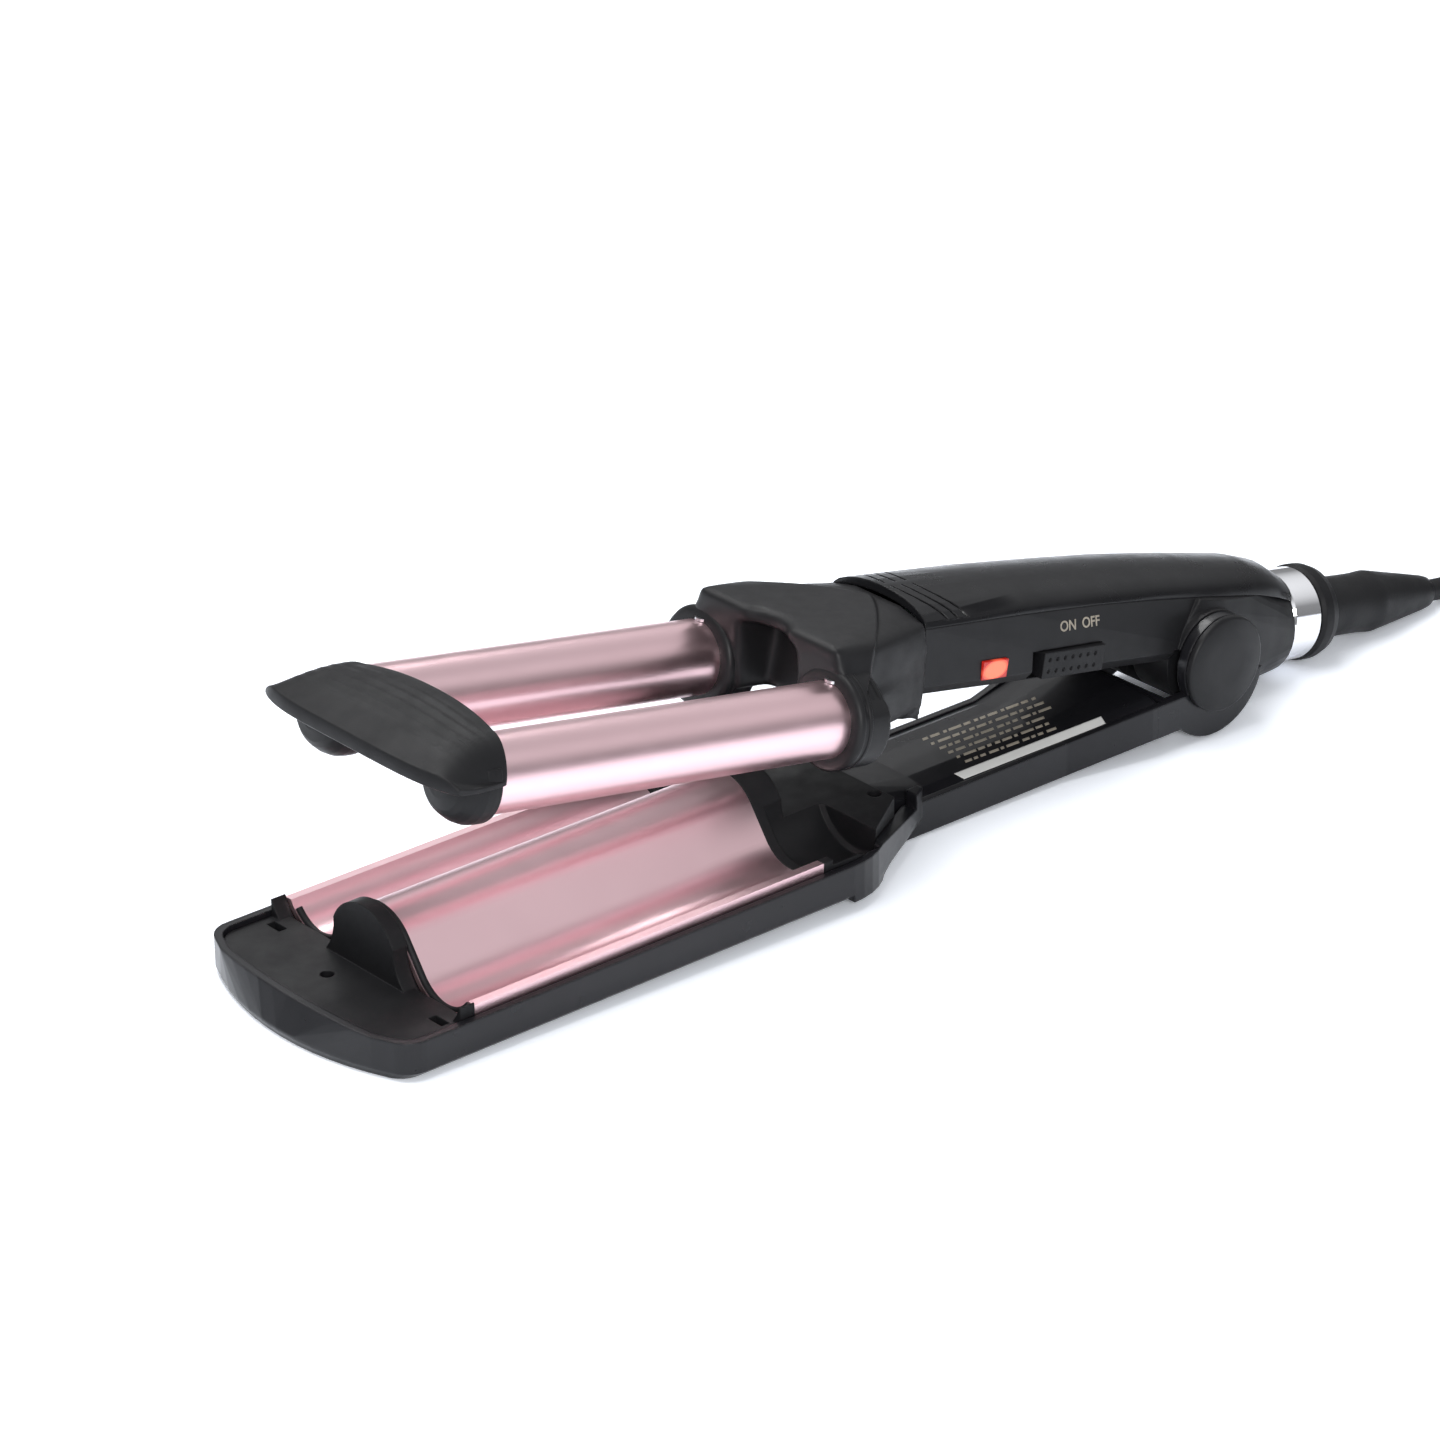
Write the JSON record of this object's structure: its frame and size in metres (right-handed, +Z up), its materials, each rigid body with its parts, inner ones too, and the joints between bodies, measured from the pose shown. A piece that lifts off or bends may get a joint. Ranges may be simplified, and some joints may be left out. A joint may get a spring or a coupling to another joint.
{
  "type": "hair crimper",
  "caption": "Open deep-wave hair crimper: round rose barrels side by side on the handle arm close into a heated wave plate on a sprung lower arm; swivel mains cord with plug.",
  "frame": {"origin": "bottom centre of the tool without its cord, as it lies open on a table", "axes": "+X along the tool from the tips to the cord end, +Y to the side away from the switch, +Z up"},
  "size_m": [0.6905, 0.077, 0.0763],
  "materials": {
    "gloss_black": "glossy",
    "satin_black": "satin",
    "matte_black": "matte",
    "rose_metal": "satin coated",
    "ceramic": "matte",
    "steel": "plain",
    "red_lens": "glossy",
    "board_green": "satin",
    "chrome": "polished",
    "black_rubber": "matte",
    "nickel_brass": "nickel plated",
    "aluminium": "plain"
  },
  "bodies": {
    "handle_arm": {"handle_top_shell": "gloss_black", "handle_frame": "satin_black", "fork_housing": "satin_black", "barrel_near": "rose_metal", "barrel_far": "rose_metal", "barrel_collar_near": "matte_black", "barrel_collar_far": "matte_black", "end_plug_near": "matte_black", "end_plug_far": "matte_black", "tip_bridge": "matte_black", "barrel_heater_near": "ceramic", "barrel_heater_far": "ceramic", "heater_spacers": "ceramic", "barrel_screws": "steel", "led_lens": "red_lens", "switch_body": "matte_black", "control_board": "board_green", "thermal_fuse": "steel", "handle_screws": "steel", "hinge_pin": "steel", "hinge_cap_near": "satin_black", "hinge_cap_far": "satin_black", "torsion_spring": "steel", "chrome_ring": "chrome", "cord_run": "black_rubber", "cord_hank": "black_rubber", "cord_tail": "black_rubber", "hank_tie": "black_rubber", "plug_body": "matte_black", "plug_pins": "nickel_brass"},
    "lower_arm": {"lower_housing": "satin_black", "front_end_plate": "matte_black", "wave_plate": "rose_metal", "rear_guard": "matte_black", "inner_cover": "satin_black", "plate_heater": "ceramic", "heater_clamp": "aluminium", "plate_sensor": "steel", "lower_screws": "steel"},
    "switch": {"switch_knob": "matte_black"},
    "swivel": {"swivel_collar": "matte_black", "strain_relief": "black_rubber"}
  },
  "joints": [
    {"name": "jaw", "type": "hinge", "parent": "handle_arm", "child": "lower_arm", "pos_m": [0.09113, 0, 0.02089], "axis": [0, 1, 0], "range_deg": [0, 10.2], "stiffness_Nm_per_rad": 0.6, "springref_deg": -20.05},
    {"name": "switch_slide", "type": "slide", "parent": "handle_arm", "child": "switch", "axis": [-0.9869, 0, 0.1616], "range_m": [0, 0.003]},
    {"name": "cord_swivel", "type": "hinge", "parent": "handle_arm", "child": "swivel", "pos_m": [0.14353, 0, 0.01291], "axis": [-0.9869, 0, 0.1616], "continuous": true}
  ]
}
